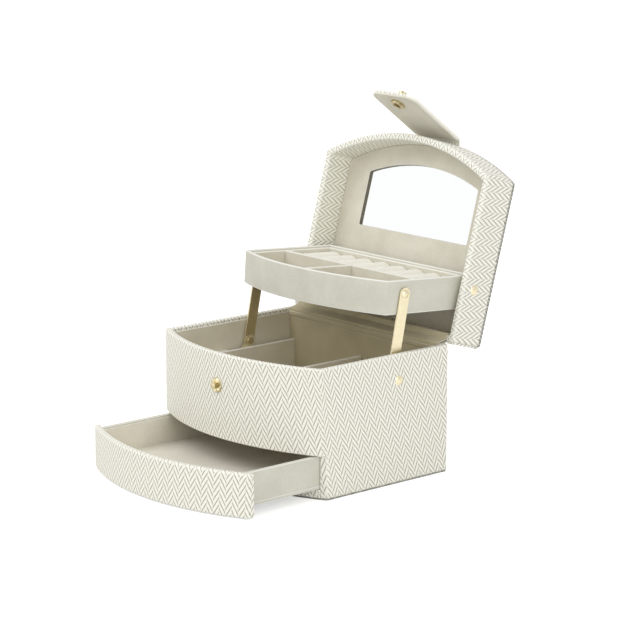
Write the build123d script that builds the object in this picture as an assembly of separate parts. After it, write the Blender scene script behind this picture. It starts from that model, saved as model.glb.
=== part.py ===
from build123d import *
import os
from math import atan2, cos, degrees, hypot, pi, radians, sin, sqrt

# A bow-fronted jewelry box, shown as it stands open: the lid is up, the tray is lifted
# by its two arms, the drawer is half out and the closing strap hangs free.
# Millimetres. X is to the right, Y to the back, Z up. The origin is on the table, under the
# middle of the closed case.

# Case and lid
WIDTH = 170.0
DEPTH = 140.0
BOW = 21.5
CASE_HEIGHT = 91.5
LID_HEIGHT = 28.0
WALL = 5.0
FRONT_THICKNESS = 4.5
CORNER_ROUND = 2.5
EDGE_BEVEL = 0.8
BASE_LINER = 1.0
BASE_LINER_INSET = 1.5
BASE_THICKNESS = 6.0
DECK_THICKNESS = 4.0
LINING = 0.8
LINING_BELOW_RIM = 2.5
BACK_LINING_BELOW_RIM = 6.0

# Compartments under the tray
PARTITION_THICKNESS = 2.0
PARTITION_BELOW_RIVET = 1.3
CHANNEL_WIDTH = 4.2
SPACER_AHEAD_OF_PIVOT = 20.5

# Lid fittings
LID_TOP_THICKNESS = 4.0
LID_TOP_ROUND = 2.0
LID_PANEL_THICKNESS = 2.0
LID_PANEL_CLEARANCE = 0.2
WINDOW_WIDTH = 114.0
WINDOW_FROM_BACK = 69.0
WINDOW_FRONT_MARGIN = 20.0
WINDOW_CORNER = 1.5
MIRROR_THICKNESS = 1.5
MIRROR_LAP = 4.0
MIRROR_CLEARANCE = 0.2

# Cloth hinge along the back rim
LID_OPEN_ANGLE = 106.0
HINGE_BEHIND_CASE = 1.6
HINGE_BELOW_RIM = 0.8
HINGE_STRIP = 0.8
HINGE_STRIP_OVERLAP = 12.0
HINGE_STRIP_BEND = 1.5
HINGE_LINING = 0.6
HINGE_LINING_BEND = 0.5
HINGE_LINING_FOLD = 1.2
HINGE_LINING_CLEARANCE = 0.3

# Lift linkage: arm pivots on the case, tray pivots on the tray, lid pivots on the lid.
# The lifted tray tips its front edge up by TRAY_TILT.
ARM_PIVOT_BELOW_RIM = 18.1
LID_PIVOT_FROM_BACK = 39.1
LID_PIVOT_ABOVE_RIM = 10.7
TRAY_PIVOT_FROM_CORNER = 15.8
TRAY_PIVOT_BELOW_TOP = 9.6
TRAY_TILT = 4.2
ARM_WIDTH = 9.0
ARM_THICKNESS = 1.2
ARM_SIDE_CLEARANCE = 0.4
BRACKET_THICKNESS = 1.0
BRACKET_RADIUS = 4.6
BRACKET_TAIL = 15.0
BRACKET_TAIL_WIDTH = 6.0
BRACKET_TAIL_ANGLE = 45.0
RIVET_HEAD_RADIUS = 3.6
RIVET_HEAD_HEIGHT = 1.2
RIVET_TAIL_RADIUS = 2.6
RIVET_TAIL_HEIGHT = 0.8
RIVET_SHANK_RADIUS = 1.5
RIVET_CLEARANCE = 0.05
WASHER_RADIUS = 3.4
WASHER_CLEARANCE = 0.2

# Tray
TRAY_HEIGHT = 24.0
TRAY_FLOOR = 3.0
TRAY_WALL = 4.5
TRAY_STEP_WIDTH = 2.0
TRAY_STEP_DEPTH = 1.5
TRAY_FRONT_CLEARANCE = 2.3
TRAY_BEHIND_PIVOT = 7.0
FRONT_TRAY_SECTION = 34.0
DIVIDER_THICKNESS = 3.0
ROLL_COUNT = 8
ROLL_GAP = 0.25
ROLL_END_GAP = 0.3
ROLL_LIFT = 0.2
ROLL_HEIGHT = 17.5
ROLL_CROWN = 6.0
TRAY_RIVET_RADIUS = 3.0
TRAY_RIVET_DEPTH = 3.5
TRAY_RIVET_CLEARANCE = 0.1

# Drawer
DRAWER_OPENING = 24.3
DRAWER_PULL = 64.0
DRAWER_GAP = 0.3
DRAWER_SIDE_CLEARANCE = 0.4
DRAWER_TOP_CLEARANCE = 1.0
DRAWER_BACK_CLEARANCE = 1.5
DRAWER_SIDE_THICKNESS = 3.5
DRAWER_FLOOR = 2.0
DRAWER_FOOT_CLEARANCE = 0.6
DRAWER_LINING_INSET = 0.3

# Closing strap and its snap
STRAP_WIDTH = 44.0
STRAP_COVER = 1.8
STRAP_LINING = 1.2
STRAP_CORNER = 8.0
STRAP_TIP_MARGIN = 10.5
STRAP_ROOT_GAP = 0.4
STRAP_ROOT_BEHIND_FRONT = 2.0
STRAP_LEDGE = 2.5
STRAP_BEND_RADIUS = 4.0
STRAP_HANGS_OUT = 20.6
STUD_BELOW_RIM = 22.5
STUD_BASE_RADIUS = 5.2
STUD_BASE_HEIGHT = 1.2
STUD_BASE_BEVEL = 0.6
STUD_POST_RADIUS = 2.2
SOCKET_RADIUS = 5.2
SOCKET_BORE_RADIUS = 2.9
SOCKET_HEIGHT = 2.0
SNAP_CLEARANCE = 0.7
CAP_RADIUS = 6.2
CAP_RIM_HEIGHT = 0.8
CAP_KNOB_RADIUS = 3.6
CAP_KNOB_HEIGHT = 5.0
CAP_KNOB_BEVEL = 0.8
CAP_SHANK_RADIUS = 1.4

# Plan of the case: straight back and sides, front on one arc
REAR_Y = DEPTH / 2
FRONT_Y = -DEPTH / 2
HALF_WIDTH = WIDTH / 2
BOW_RADIUS = (HALF_WIDTH**2 + BOW**2) / (2 * BOW)
BOW_CENTRE_Y = FRONT_Y + BOW_RADIUS
INNER_X = HALF_WIDTH - WALL
INNER_REAR_Y = REAR_Y - WALL
PANEL_BACK_RADIUS = BOW_RADIUS - FRONT_THICKNESS

# Levels from the table up
BASE_TOP = BASE_LINER + BASE_THICKNESS
DECK_BOTTOM = BASE_TOP + DRAWER_OPENING
DECK_TOP = DECK_BOTTOM + DECK_THICKNESS
FLOOR_TOP = DECK_TOP + LINING
LINING_TOP = CASE_HEIGHT - LINING_BELOW_RIM
LID_TOP = CASE_HEIGHT + LID_HEIGHT
LID_WALL_TOP = LID_TOP - LID_TOP_THICKNESS
PANEL_FACE = LID_WALL_TOP - LID_PANEL_THICKNESS

# Layers beside the tray, from the partition out to the side wall
LINED_X = INNER_X - LINING
PARTITION_X = LINED_X - CHANNEL_WIDTH
ARM_INNER_X = PARTITION_X + BRACKET_THICKNESS + ARM_SIDE_CLEARANCE
ARM_OUTER_X = ARM_INNER_X + ARM_THICKNESS
TRAY_X = ARM_INNER_X - ARM_SIDE_CLEARANCE
RIVET_HOLE_RADIUS = RIVET_SHANK_RADIUS + RIVET_CLEARANCE



def bow_y(x, radius):
    """Front of an arc of the given radius about the bow's centre, at one place across."""
    return BOW_CENTRE_Y - sqrt(radius**2 - x**2)


def turned(point, centre, angle):
    """A side-view point turned about a centre; positive angles tip it forward."""
    y, z = point[0] - centre[0], point[1] - centre[1]
    c, s = cos(radians(angle)), sin(radians(angle))
    return (centre[0] + y * c - z * s, centre[1] + y * s + z * c)


def direction(start, end):
    return degrees(atan2(end[1] - start[1], end[0] - start[0]))


def distance(start, end):
    return hypot(end[0] - start[0], end[1] - start[1])


# Lift linkage in the side view, as (Y, Z). The tray is level when the lid is closed, and the
# arm's lower pivot lies as far from the tray pivot's closed place as from its lifted one.
HINGE = (REAR_Y + HINGE_BEHIND_CASE, CASE_HEIGHT - HINGE_BELOW_RIM)
TRAY_RADIUS = PANEL_BACK_RADIUS - LINING - TRAY_FRONT_CLEARANCE
TRAY_CORNER_Y = bow_y(TRAY_X, TRAY_RADIUS)
LID_PIVOT_CLOSED = (REAR_Y - LID_PIVOT_FROM_BACK, CASE_HEIGHT + LID_PIVOT_ABOVE_RIM)
LID_PIVOT = turned(LID_PIVOT_CLOSED, HINGE, -LID_OPEN_ANGLE)
TRAY_PIVOT_CLOSED = (TRAY_CORNER_Y + TRAY_PIVOT_FROM_CORNER, LID_PIVOT_CLOSED[1])
TRAY_PIVOT_SPACING = LID_PIVOT_CLOSED[0] - TRAY_PIVOT_CLOSED[0]
TRAY_PIVOT = (
    LID_PIVOT[0] - TRAY_PIVOT_SPACING * cos(radians(TRAY_TILT)),
    LID_PIVOT[1] + TRAY_PIVOT_SPACING * sin(radians(TRAY_TILT)),
)
LIFT_MIDDLE = [(closed + lifted) / 2 for closed, lifted in zip(TRAY_PIVOT_CLOSED, TRAY_PIVOT)]
LIFT = [lifted - closed for closed, lifted in zip(TRAY_PIVOT_CLOSED, TRAY_PIVOT)]
ARM_PIVOT_Z = CASE_HEIGHT - ARM_PIVOT_BELOW_RIM
ARM_PIVOT = (LIFT_MIDDLE[0] + (LIFT_MIDDLE[1] - ARM_PIVOT_Z) * LIFT[1] / LIFT[0], ARM_PIVOT_Z)
ARM_LENGTH = distance(ARM_PIVOT, TRAY_PIVOT_CLOSED)
ARM_SWING = direction(ARM_PIVOT, TRAY_PIVOT_CLOSED) - direction(ARM_PIVOT, TRAY_PIVOT)


def bow_plan(half_width, radius, rear_y):
    """Plan with a straight back, straight sides and a bowed front."""
    corner_y = bow_y(half_width, radius)
    rear_left = (-half_width, rear_y)
    rear_right = (half_width, rear_y)
    front_left = (-half_width, corner_y)
    front_right = (half_width, corner_y)
    outline = [
        Line(rear_left, rear_right),
        Line(rear_right, front_right),
        ThreePointArc(front_right, (0, BOW_CENTRE_Y - radius), front_left),
        Line(front_left, rear_left),
    ]
    return make_face(outline)


def bow_band(half_width, radius, thickness):
    """Plan of a bowed board of even thickness."""
    behind = bow_plan(half_width + WALL, radius - thickness, REAR_Y + WALL)
    return bow_plan(half_width, radius, REAR_Y) - behind


def strip_plan(inner_x, outer_x, radius, rear_y):
    """Plan of a board along the right-hand side, cut to the bow at its front end."""
    strip = Pos((inner_x + outer_x) / 2, 0) * Rectangle(outer_x - inner_x, 3 * DEPTH)
    return bow_plan(outer_x, radius, rear_y) & strip


def board(plan, low, high):
    return Pos(0, 0, low) * extrude(plan, amount=high - low, dir=(0, 0, 1))


def slab(low, high):
    """Box between two corners."""
    size = [h - l for l, h in zip(low, high)]
    centre = [(l + h) / 2 for l, h in zip(low, high)]
    return Pos(*centre) * Box(*size)


def side_plate(sketch, inner_x, outer_x):
    """Sketch in the side view (Y across, Z up), given a thickness along X."""
    plane = Plane(origin=(inner_x, 0, 0), x_dir=(0, 1, 0), z_dir=(1, 0, 0))
    return extrude(plane * sketch, amount=outer_x - inner_x, dir=(1, 0, 0))


def side_hole(point, radius):
    """Drill through everything along X at a side-view point."""
    return Pos(0, *point) * Rot(0, 90, 0) * Cylinder(radius, 2 * WIDTH)


def dome_head(radius, height):
    """Low rivet head that stands on the XY plane."""
    sphere_radius = (radius**2 + height**2) / (2 * height)
    ball = Pos(0, 0, height - sphere_radius) * Sphere(sphere_radius)
    return ball & Pos(0, 0, height / 2) * Cylinder(radius, height)


def along_x(solid, x, point):
    """Turns a solid's Z axis outward along +X and sets it at a side-view point."""
    return Pos(x, *point) * Rot(0, 90, 0) * solid


def lid_open(solid):
    """Moves a piece from the closed lid to the open one."""
    return Pos(0, *HINGE) * Rot(-LID_OPEN_ANGLE, 0, 0) * Pos(0, -HINGE[0], -HINGE[1]) * solid


def tray_lifted(solid):
    """Moves a piece from the closed tray to the lifted one."""
    home = Pos(0, -LID_PIVOT_CLOSED[0], -LID_PIVOT_CLOSED[1])
    return Pos(0, *LID_PIVOT) * Rot(-TRAY_TILT, 0, 0) * home * solid


def drawer_out(solid):
    return Pos(0, -DRAWER_PULL, 0) * solid


def rounded_front(plan):
    """Rounds the two outer corners of a bowed plan."""
    return fillet(plan.vertices().sort_by(Axis.Y)[:2], CORNER_ROUND)


pieces = {}


def add_pair(name, right_hand):
    pieces["right_" + name] = right_hand
    pieces["left_" + name] = mirror(right_hand, about=Plane.YZ)


def add_group(name, right_hand):
    """Two like fasteners, one on each side, kept together under one name."""
    pieces[name] = right_hand + mirror(right_hand, about=Plane.YZ)


# Case: wrapped boards on a base, with a bowed panel over the drawer opening
def build_case():
    liner_plan = bow_plan(
        HALF_WIDTH - BASE_LINER_INSET,
        PANEL_BACK_RADIUS - BASE_LINER_INSET,
        REAR_Y - BASE_LINER_INSET,
    )
    pieces["base_liner"] = board(liner_plan, 0, BASE_LINER)
    pieces["base_board"] = board(bow_plan(INNER_X, PANEL_BACK_RADIUS, REAR_Y), BASE_LINER, BASE_TOP)
    pieces["back_wall"] = slab((-INNER_X, INNER_REAR_Y, BASE_TOP), (INNER_X, REAR_Y, CASE_HEIGHT))
    side_wall = board(strip_plan(INNER_X, HALF_WIDTH, PANEL_BACK_RADIUS, REAR_Y), BASE_LINER, CASE_HEIGHT)
    add_pair("side_wall", side_wall - side_hole(ARM_PIVOT, RIVET_HOLE_RADIUS))
    panel_plan = rounded_front(bow_band(HALF_WIDTH, BOW_RADIUS, FRONT_THICKNESS))
    panel = board(panel_plan, DECK_BOTTOM, CASE_HEIGHT)
    bottom_edge = panel.faces().sort_by(Axis.Z)[0].edges().sort_by(Axis.Y)[0]
    pieces["front_panel"] = chamfer(bottom_edge, EDGE_BEVEL)
    deck_plan = bow_plan(INNER_X, PANEL_BACK_RADIUS, INNER_REAR_Y)
    pieces["deck"] = board(deck_plan, DECK_BOTTOM, DECK_TOP)


# Suedette linings inside the case
def build_linings():
    front_radius = PANEL_BACK_RADIUS - LINING
    rear_y = INNER_REAR_Y - LINING
    pieces["deck_lining"] = board(bow_plan(LINED_X, front_radius, rear_y), DECK_TOP, FLOOR_TOP)
    back_top = CASE_HEIGHT - BACK_LINING_BELOW_RIM
    pieces["back_lining"] = slab((-INNER_X, rear_y, DECK_TOP), (INNER_X, INNER_REAR_Y, back_top))
    pieces["front_lining"] = board(bow_band(INNER_X, PANEL_BACK_RADIUS, LINING), DECK_TOP, LINING_TOP)
    side_lining = board(strip_plan(LINED_X, INNER_X, front_radius, rear_y), DECK_TOP, LINING_TOP)
    add_pair("side_lining", side_lining - side_hole(ARM_PIVOT, RIVET_HOLE_RADIUS))


# Partitions that make two compartments and a channel for each arm
def build_partitions():
    front_radius = PANEL_BACK_RADIUS - LINING
    rear_y = INNER_REAR_Y - LINING
    top = ARM_PIVOT[1] - RIVET_TAIL_RADIUS - PARTITION_BELOW_RIVET
    partition_plan = strip_plan(PARTITION_X - PARTITION_THICKNESS, PARTITION_X, front_radius, rear_y)
    add_pair("channel_partition", board(partition_plan, FLOOR_TOP, top))
    spacer_plan = strip_plan(PARTITION_X, LINED_X, front_radius, ARM_PIVOT[0] - SPACER_AHEAD_OF_PIVOT)
    add_pair("channel_spacer", board(spacer_plan, FLOOR_TOP, top))
    middle_plan = bow_plan(PARTITION_THICKNESS / 2, front_radius, rear_y)
    pieces["middle_partition"] = board(middle_plan, FLOOR_TOP, top)


# Lid: a shallow shell with the case's plan, an inner panel and a mirror behind its window
def build_lid():
    window_radius = BOW_RADIUS - WINDOW_FRONT_MARGIN
    window_rear = REAR_Y - WINDOW_FROM_BACK
    pocket = board(
        bow_plan(
            WINDOW_WIDTH / 2 + MIRROR_LAP + MIRROR_CLEARANCE,
            window_radius + MIRROR_LAP + MIRROR_CLEARANCE,
            window_rear + MIRROR_LAP + MIRROR_CLEARANCE,
        ),
        LID_WALL_TOP,
        LID_WALL_TOP + MIRROR_THICKNESS + MIRROR_CLEARANCE,
    )
    top = board(rounded_front(bow_plan(HALF_WIDTH, BOW_RADIUS, REAR_Y)), LID_WALL_TOP, LID_TOP)
    top = fillet(top.faces().sort_by(Axis.Z)[-1].edges(), LID_TOP_ROUND)
    pieces["lid_top_board"] = lid_open(top - pocket)
    front_plan = rounded_front(bow_band(HALF_WIDTH, BOW_RADIUS, WALL))
    pieces["lid_front_wall"] = lid_open(board(front_plan, CASE_HEIGHT, LID_WALL_TOP))
    side_plan = strip_plan(INNER_X, HALF_WIDTH, BOW_RADIUS - WALL, REAR_Y)
    side = board(side_plan, CASE_HEIGHT, LID_WALL_TOP) - side_hole(LID_PIVOT_CLOSED, RIVET_HOLE_RADIUS)
    add_pair("lid_wall", lid_open(side))
    back = slab((-INNER_X, INNER_REAR_Y, CASE_HEIGHT), (INNER_X, REAR_Y, LID_WALL_TOP))
    pieces["lid_back_wall"] = lid_open(back)
    panel_plan = bow_plan(
        INNER_X - LID_PANEL_CLEARANCE,
        BOW_RADIUS - WALL - LID_PANEL_CLEARANCE,
        INNER_REAR_Y - HINGE_LINING - LID_PANEL_CLEARANCE,
    )
    window_plan = bow_plan(WINDOW_WIDTH / 2, window_radius, window_rear)
    window_plan = fillet(window_plan.vertices(), WINDOW_CORNER)
    pieces["lid_panel"] = lid_open(board(panel_plan - window_plan, PANEL_FACE, LID_WALL_TOP))
    mirror_plan = bow_plan(
        WINDOW_WIDTH / 2 + MIRROR_LAP, window_radius + MIRROR_LAP, window_rear + MIRROR_LAP
    )
    pieces["mirror"] = lid_open(board(mirror_plan, LID_WALL_TOP, LID_WALL_TOP + MIRROR_THICKNESS))
    head = along_x(dome_head(RIVET_HEAD_RADIUS, RIVET_HEAD_HEIGHT), HALF_WIDTH, LID_PIVOT_CLOSED)
    shank_end = TRAY_X + ARM_SIDE_CLEARANCE
    shank = side_plate(Pos(*LID_PIVOT_CLOSED) * Circle(RIVET_SHANK_RADIUS), shank_end, HALF_WIDTH)
    add_group("lid_rivets", lid_open(head + shank))


def offset_route(route, thickness):
    """A side-view polyline moved to its left by a thickness, with mitred corners."""
    normals = []
    for start, end in zip(route, route[1:]):
        length = distance(start, end)
        normals.append(((start[1] - end[1]) / length, (end[0] - start[0]) / length))
    moved = []
    for i, point in enumerate(route):
        before = normals[max(i - 1, 0)]
        after = normals[min(i, len(normals) - 1)]
        share = thickness / (1 + before[0] * after[0] + before[1] * after[1])
        moved.append((point[0] + share * (before[0] + after[0]), point[1] + share * (before[1] + after[1])))
    return moved


def bent_section(route, thickness, bend):
    """Section of a cloth strip with one face on the route; a positive thickness lies to its left."""
    near_radii = []
    far_radii = []
    for before, corner, after in zip(route, route[1:], route[2:]):
        turn = sin(radians(direction(corner, after) - direction(before, corner)))
        strip_inside = turn * thickness > 0
        near_radii.append(bend + abs(thickness) if strip_inside else bend)
        far_radii.append(bend if strip_inside else bend + abs(thickness))
    other = offset_route(route, thickness)
    outline = [
        FilletPolyline(*route, radius=near_radii),
        Line(route[-1], other[-1]),
        FilletPolyline(*other, radius=far_radii),
        Line(other[0], route[0]),
    ]
    return make_face(outline)


# Cloth hinge: a leatherette strip outside and a lining strip over the two rims inside
def build_hinge():
    open_angle = radians(LID_OPEN_ANGLE)
    lid_down = (sin(open_angle), cos(open_angle))
    lid_forward = (-cos(open_angle), sin(open_angle))
    rim_corner = turned((REAR_Y, CASE_HEIGHT), HINGE, -LID_OPEN_ANGLE)

    def on_lid(forward, down):
        y = rim_corner[0] + forward * lid_forward[0] + down * lid_down[0]
        z = rim_corner[1] + forward * lid_forward[1] + down * lid_down[1]
        return (y, z)

    bend_point = on_lid(0, (REAR_Y - rim_corner[0]) / lid_down[0])
    strip_route = [(REAR_Y, CASE_HEIGHT - HINGE_STRIP_OVERLAP), bend_point, on_lid(0, HINGE_STRIP_OVERLAP)]
    strip = bent_section(strip_route, -HINGE_STRIP, HINGE_STRIP_BEND)
    pieces["hinge_strip"] = side_plate(strip, -INNER_X, INNER_X)
    lining_route = [
        (INNER_REAR_Y, CASE_HEIGHT - BACK_LINING_BELOW_RIM),
        (INNER_REAR_Y, CASE_HEIGHT),
        on_lid(HINGE_LINING_FOLD, 0),
        on_lid(WALL, 0),
        on_lid(WALL, PANEL_FACE - CASE_HEIGHT - HINGE_LINING_CLEARANCE),
    ]
    lining_route = offset_route(lining_route, HINGE_LINING_CLEARANCE)
    lining = bent_section(lining_route, HINGE_LINING, HINGE_LINING_BEND)
    pieces["hinge_lining"] = side_plate(lining, -LINED_X, LINED_X)


# Lift arms with their brackets, washers and rivets, one set on each side
def build_lift():
    middle = [(a + t) / 2 for a, t in zip(ARM_PIVOT, TRAY_PIVOT)]
    arm = SlotCenterToCenter(ARM_LENGTH, ARM_WIDTH)
    arm = Pos(*middle) * Rot(0, 0, direction(ARM_PIVOT, TRAY_PIVOT)) * arm
    for pivot in (ARM_PIVOT, TRAY_PIVOT):
        arm -= Pos(*pivot) * Circle(RIVET_HOLE_RADIUS)
    add_pair("lift_arm", side_plate(arm, ARM_INNER_X, ARM_OUTER_X))
    tail = Pos(0, -BRACKET_TAIL / 2) * Rectangle(BRACKET_TAIL_WIDTH, BRACKET_TAIL)
    tail = Rot(0, 0, -BRACKET_TAIL_ANGLE) * tail
    bracket = Pos(*ARM_PIVOT) * (Circle(BRACKET_RADIUS) + tail - Circle(RIVET_HOLE_RADIUS))
    add_pair("arm_bracket", side_plate(bracket, PARTITION_X, PARTITION_X + BRACKET_THICKNESS))
    washer = Pos(*ARM_PIVOT) * (Circle(WASHER_RADIUS) - Circle(RIVET_HOLE_RADIUS))
    add_group("arm_washers", side_plate(washer, ARM_OUTER_X + WASHER_CLEARANCE, LINED_X))
    head = along_x(dome_head(RIVET_HEAD_RADIUS, RIVET_HEAD_HEIGHT), HALF_WIDTH, ARM_PIVOT)
    shank = side_plate(Pos(*ARM_PIVOT) * Circle(RIVET_SHANK_RADIUS), PARTITION_X, HALF_WIDTH)
    inner_head = Pos(*ARM_PIVOT) * Circle(RIVET_TAIL_RADIUS)
    inner_head = side_plate(inner_head, PARTITION_X - RIVET_TAIL_HEIGHT, PARTITION_X)
    add_group("case_rivets", head + shank + inner_head)


def ring_roll(width, length):
    """Round-topped roll along Y from the origin."""
    side = ROLL_HEIGHT - ROLL_CROWN
    left, right = -width / 2, width / 2
    outline = [
        Line((left, side), (left, 0)),
        Line((left, 0), (right, 0)),
        Line((right, 0), (right, side)),
        ThreePointArc((right, side), (0, ROLL_HEIGHT), (left, side)),
    ]
    return extrude(Plane.XZ * make_face(outline), amount=length, dir=(0, 1, 0))


# Tray: stepped walls round a ring section at the back and two sections at the front
def build_tray():
    top = LID_PIVOT_CLOSED[1] + TRAY_PIVOT_BELOW_TOP
    bottom = top - TRAY_HEIGHT
    floor_top = bottom + TRAY_FLOOR
    step = top - TRAY_STEP_DEPTH
    rear_y = LID_PIVOT_CLOSED[0] + TRAY_BEHIND_PIVOT
    inner_x = TRAY_X - TRAY_WALL
    inner_radius = TRAY_RADIUS - TRAY_WALL
    inner_rear = rear_y - TRAY_WALL
    rim_width = TRAY_WALL - TRAY_STEP_WIDTH
    rebate_plan = bow_plan(TRAY_X - rim_width, TRAY_RADIUS - rim_width, rear_y - rim_width)
    rebate = board(rebate_plan, step, top)
    pieces["tray_floor"] = tray_lifted(board(bow_plan(TRAY_X, TRAY_RADIUS, rear_y), bottom, floor_top))
    front_plan = rounded_front(bow_band(TRAY_X, TRAY_RADIUS, TRAY_WALL))
    pieces["tray_front_wall"] = tray_lifted(board(front_plan, floor_top, top) - rebate)
    back = slab((-inner_x, inner_rear, floor_top), (inner_x, rear_y, top))
    pieces["tray_back_wall"] = tray_lifted(back - rebate)
    side = board(strip_plan(inner_x, TRAY_X, inner_radius, rear_y), floor_top, top) - rebate
    rivet_start = TRAY_X - TRAY_RIVET_DEPTH
    socket = side_plate(Pos(*TRAY_PIVOT_CLOSED) * Circle(RIVET_HOLE_RADIUS), rivet_start, TRAY_X)
    add_pair("tray_wall", tray_lifted(side - socket))
    divider_front = TRAY_CORNER_Y + FRONT_TRAY_SECTION
    divider_rear = divider_front + DIVIDER_THICKNESS
    cross = slab((-inner_x, divider_front, floor_top), (inner_x, divider_rear, step))
    pieces["tray_cross_divider"] = tray_lifted(cross)
    short_plan = bow_plan(DIVIDER_THICKNESS / 2, inner_radius, divider_front)
    pieces["tray_short_divider"] = tray_lifted(board(short_plan, floor_top, step))
    pitch = 2 * inner_x / ROLL_COUNT
    roll = ring_roll(pitch - ROLL_GAP, inner_rear - divider_rear - 2 * ROLL_END_GAP)
    for i in range(ROLL_COUNT):
        place = Pos((i + 0.5) * pitch - inner_x, divider_rear + ROLL_END_GAP, floor_top + ROLL_LIFT)
        pieces[f"ring_roll_{i + 1}"] = tray_lifted(place * roll)
    head_x = ARM_OUTER_X + TRAY_RIVET_CLEARANCE
    head = along_x(dome_head(TRAY_RIVET_RADIUS, RIVET_HEAD_HEIGHT), head_x, TRAY_PIVOT_CLOSED)
    shank = side_plate(Pos(*TRAY_PIVOT_CLOSED) * Circle(RIVET_SHANK_RADIUS), rivet_start, head_x)
    add_group("tray_rivets", tray_lifted(head + shank))


# Drawer: an open box behind a bowed front that covers the edge of the base
def build_drawer():
    outer_x = INNER_X - DRAWER_SIDE_CLEARANCE
    inner_x = outer_x - DRAWER_SIDE_THICKNESS
    radius = PANEL_BACK_RADIUS + DRAWER_GAP
    rear_y = INNER_REAR_Y - DRAWER_BACK_CLEARANCE
    bottom = BASE_TOP + DRAWER_GAP
    floor_top = bottom + DRAWER_FLOOR
    top = DECK_BOTTOM - DRAWER_TOP_CLEARANCE
    front_plan = rounded_front(bow_band(HALF_WIDTH, BOW_RADIUS, FRONT_THICKNESS - DRAWER_GAP))
    front = board(front_plan, DRAWER_FOOT_CLEARANCE, DECK_BOTTOM - DRAWER_GAP)
    levels = front.faces().sort_by(Axis.Z)
    long_edges = [levels[i].edges().sort_by(Axis.Y)[0] for i in (0, -1)]
    pieces["drawer_front"] = drawer_out(chamfer(long_edges, EDGE_BEVEL))
    pieces["drawer_floor"] = drawer_out(board(bow_plan(outer_x, radius, rear_y), bottom, floor_top))
    side_plan = strip_plan(inner_x, outer_x, radius, rear_y)
    add_pair("drawer_side", drawer_out(board(side_plan, floor_top, top)))
    inner_rear = rear_y - DRAWER_SIDE_THICKNESS
    pieces["drawer_back"] = drawer_out(slab((-inner_x, inner_rear, floor_top), (inner_x, rear_y, top)))
    lining_plan = bow_plan(
        inner_x - DRAWER_LINING_INSET, radius - DRAWER_LINING_INSET, inner_rear - DRAWER_LINING_INSET
    )
    pieces["drawer_lining"] = drawer_out(board(lining_plan, floor_top, floor_top + LINING))


# Closing strap, glued to the lid's top behind its front edge, with a snap that meets the stud.
# In the strap's own side view its root is the origin, and below its bend it hangs straight down.
STUD_Z = CASE_HEIGHT - STUD_BELOW_RIM
STRAP_THICKNESS = STRAP_COVER + STRAP_LINING
STRAP_AXIS = (FRONT_Y + STRAP_ROOT_BEHIND_FRONT, LID_TOP + STRAP_ROOT_GAP + STRAP_COVER / 2)
LEDGE_TILT = radians(STRAP_HANGS_OUT)
BEND_CENTRE = (
    STRAP_BEND_RADIUS * sin(LEDGE_TILT) - STRAP_LEDGE * cos(LEDGE_TILT),
    -STRAP_BEND_RADIUS * cos(LEDGE_TILT) - STRAP_LEDGE * sin(LEDGE_TILT),
)
STRAP_OUTER_Y = BEND_CENTRE[0] - STRAP_BEND_RADIUS - STRAP_COVER / 2
STRAP_INNER_Y = STRAP_OUTER_Y + STRAP_THICKNESS
SOCKET_Y = STRAP_INNER_Y + SOCKET_HEIGHT / 2
SNAP = (FRONT_Y - STUD_BASE_HEIGHT - SNAP_CLEARANCE - SOCKET_HEIGHT / 2, STUD_Z)
STRAP_REACH = sqrt(distance(STRAP_AXIS, SNAP) ** 2 - SOCKET_Y**2)
STRAP_FASTENED_OUT = direction((0, 0), (SOCKET_Y, -STRAP_REACH)) - direction(STRAP_AXIS, SNAP)


def strap_hung(solid):
    """Moves a piece from the strap's own frame to the open lid."""
    return lid_open(Pos(0, *STRAP_AXIS) * Rot(-STRAP_HANGS_OUT, 0, 0) * solid)


def on_bend(radius, angle):
    """Side-view point on an arc about the centre of the strap's bend."""
    return (BEND_CENTRE[0] + radius * cos(angle), BEND_CENTRE[1] + radius * sin(angle))


def strap_bend():
    """The cover's root: a short ledge over the lid's top and the bend in front of it."""
    outer = STRAP_BEND_RADIUS + STRAP_COVER / 2
    inner = STRAP_BEND_RADIUS - STRAP_COVER / 2
    first, last = pi / 2 + LEDGE_TILT, pi
    middle = (first + last) / 2
    across = (STRAP_COVER / 2 * sin(LEDGE_TILT), -STRAP_COVER / 2 * cos(LEDGE_TILT))
    root_inner, root_outer = across, (-across[0], -across[1])
    outline = [
        Line(root_inner, root_outer),
        Line(root_outer, on_bend(outer, first)),
        ThreePointArc(on_bend(outer, first), on_bend(outer, middle), on_bend(outer, last)),
        Line(on_bend(outer, last), on_bend(inner, last)),
        ThreePointArc(on_bend(inner, last), on_bend(inner, middle), on_bend(inner, first)),
        Line(on_bend(inner, first), root_inner),
    ]
    return side_plate(make_face(outline), -STRAP_WIDTH / 2, STRAP_WIDTH / 2)


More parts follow.
